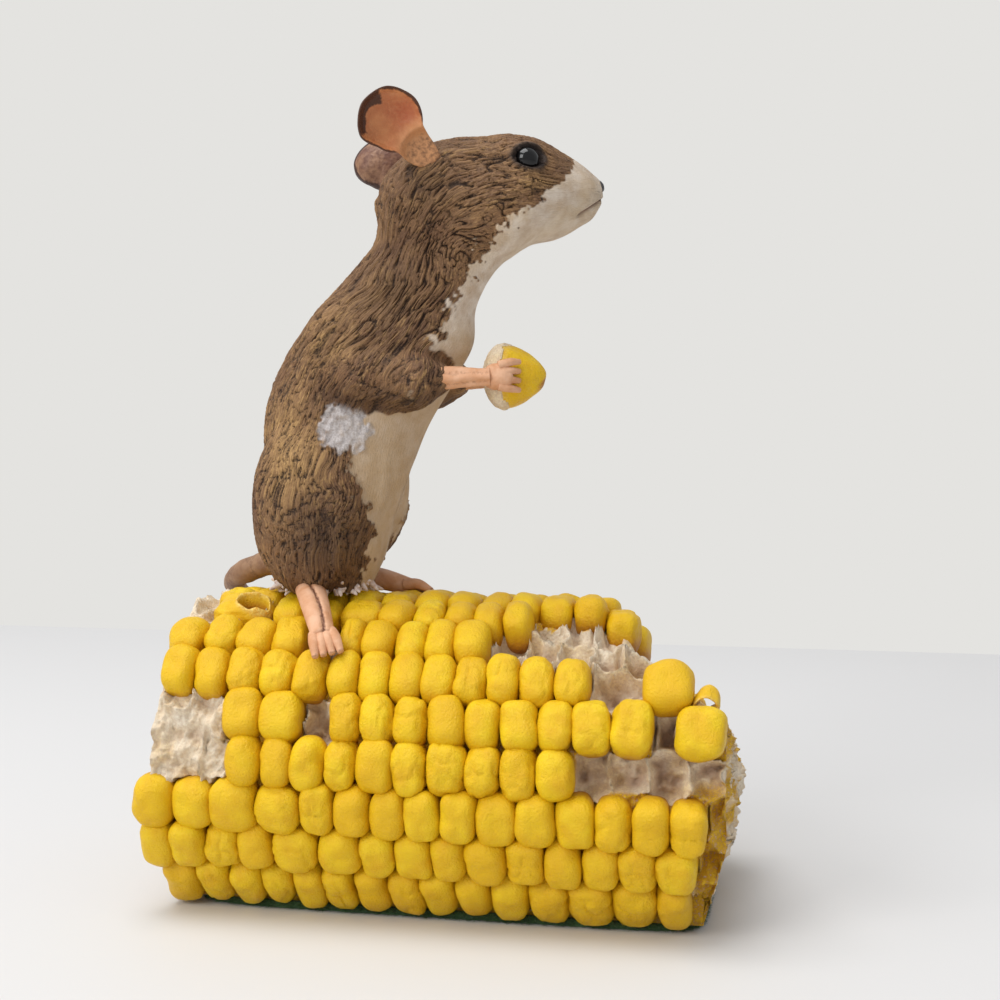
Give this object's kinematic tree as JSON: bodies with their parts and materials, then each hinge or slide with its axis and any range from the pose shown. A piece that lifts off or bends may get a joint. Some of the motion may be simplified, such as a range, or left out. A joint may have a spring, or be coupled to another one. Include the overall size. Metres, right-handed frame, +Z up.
{
  "type": "mouse figurine",
  "caption": "Figurine of a brown mouse standing upright on a piece of corn cob, holding a kernel in its forepaws",
  "frame": {"origin": "middle of the felt pad's underside, on the surface that the figurine stands on", "axes": "+Z up, +X along the cob toward the end that the mouse faces, -Y toward the side that shows the mouse's right"},
  "size_m": [0.0781, 0.0479, 0.111],
  "materials": {
    "kernel": "hand-painted yellow modelling clay, satin, with darker creases",
    "pith": "torn cream modelling clay, matte, mauve in the hollows",
    "fur": "combed modelling clay, brown wash with tan dry-brushed strands, cream belly",
    "ear_skin": "smooth painted clay, orange inside with a dark brown rim",
    "paw_skin": "smooth painted clay, peach orange",
    "tail_skin": "painted clay, brown",
    "eye_bead": "glossy black bead",
    "nose_black": "glossy black paint",
    "felt": "dark green felt with a fuzzy edge",
    "wire": "plain armature wire, hidden inside"
  },
  "bodies": {
    "root": {"felt_pad": "felt", "cob_core": "pith", "torn_kernel": "kernel", "kernel_skin": "kernel", "kernel_row_01": "kernel", "kernel_row_02": "kernel", "kernel_row_03": "kernel", "kernel_row_04": "kernel", "kernel_row_05": "kernel", "kernel_row_06": "kernel", "kernel_row_07": "kernel", "kernel_row_08": "kernel", "kernel_row_09": "kernel", "kernel_row_10": "kernel", "kernel_row_11": "kernel", "kernel_row_12": "kernel", "kernel_row_13": "kernel", "kernel_row_14": "kernel", "kernel_row_15": "kernel", "kernel_row_16": "kernel", "kernel_row_17": "kernel", "torso": "fur", "head": "fur", "right_ear": "ear_skin", "left_ear": "ear_skin", "right_eye": "eye_bead", "left_eye": "eye_bead", "nose_tip": "nose_black", "right_haunch": "fur", "left_haunch": "fur", "right_upper_arm": "fur", "left_upper_arm": "fur", "right_forearm": "paw_skin", "left_forearm": "paw_skin", "right_hind_foot": "paw_skin", "left_hind_foot": "paw_skin", "held_kernel_root": "pith", "held_kernel_cap": "kernel", "tail": "tail_skin", "spine_wire": "wire", "right_leg_wire": "wire", "left_leg_wire": "wire"}
  },
  "joints": []
}
